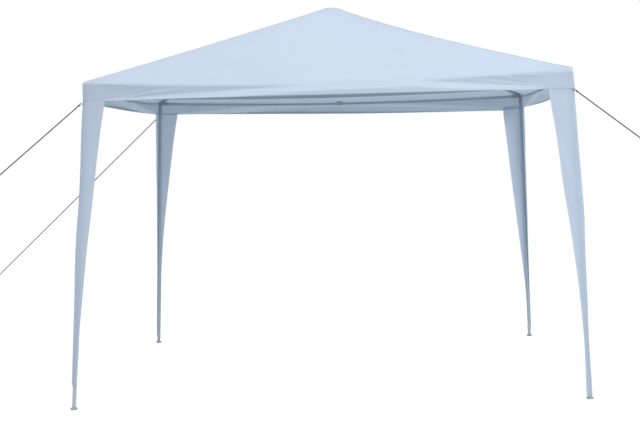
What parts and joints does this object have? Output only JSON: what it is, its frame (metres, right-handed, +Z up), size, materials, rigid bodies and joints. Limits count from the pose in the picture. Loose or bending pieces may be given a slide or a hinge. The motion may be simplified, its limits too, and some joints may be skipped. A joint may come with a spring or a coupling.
{
  "type": "party canopy tent",
  "caption": "Square open-sided canopy tent with a peaked fabric roof, valance, tapered leg covers, tube frame and guy ropes on pegs.",
  "frame": {"origin": "on the ground, in the middle of the tent and of the box round everything", "axes": "+Z up, +X to the right in the picture, +Y away from the camera, towards the back"},
  "size_m": [7.4449, 5.1378, 2.577],
  "materials": {
    "canopy_fabric": "woven, slightly glossy",
    "painted_tube": "powder coated",
    "fitting_plastic": "matt",
    "guy_rope": "braided",
    "peg_steel": "galvanised"
  },
  "bodies": {
    "root": {"roof_panel_front": "canopy_fabric", "valance_front": "canopy_fabric", "eave_tube_front": "painted_tube", "roof_panel_right": "canopy_fabric", "valance_right": "canopy_fabric", "eave_tube_right": "painted_tube", "roof_panel_back": "canopy_fabric", "valance_back": "canopy_fabric", "eave_tube_back": "painted_tube", "roof_panel_left": "canopy_fabric", "valance_left": "canopy_fabric", "eave_tube_left": "painted_tube", "leg_cover_front_left": "canopy_fabric", "leg_upper_front_left": "painted_tube", "leg_lower_front_left": "painted_tube", "rafter_front_left": "painted_tube", "corner_connector_front_left": "fitting_plastic", "foot_front_left": "fitting_plastic", "leg_cover_front_right": "canopy_fabric", "leg_upper_front_right": "painted_tube", "leg_lower_front_right": "painted_tube", "rafter_front_right": "painted_tube", "corner_connector_front_right": "fitting_plastic", "foot_front_right": "fitting_plastic", "leg_cover_back_right": "canopy_fabric", "leg_upper_back_right": "painted_tube", "leg_lower_back_right": "painted_tube", "rafter_back_right": "painted_tube", "corner_connector_back_right": "fitting_plastic", "foot_back_right": "fitting_plastic", "leg_cover_back_left": "canopy_fabric", "leg_upper_back_left": "painted_tube", "leg_lower_back_left": "painted_tube", "rafter_back_left": "painted_tube", "corner_connector_back_left": "fitting_plastic", "foot_back_left": "fitting_plastic", "peak_hub": "fitting_plastic", "guy_rope_front_left": "guy_rope", "ground_peg_front_left": "peg_steel", "guy_rope_front_right": "guy_rope", "ground_peg_front_right": "peg_steel", "guy_rope_back_left": "guy_rope", "ground_peg_back_left": "peg_steel"}
  },
  "joints": []
}
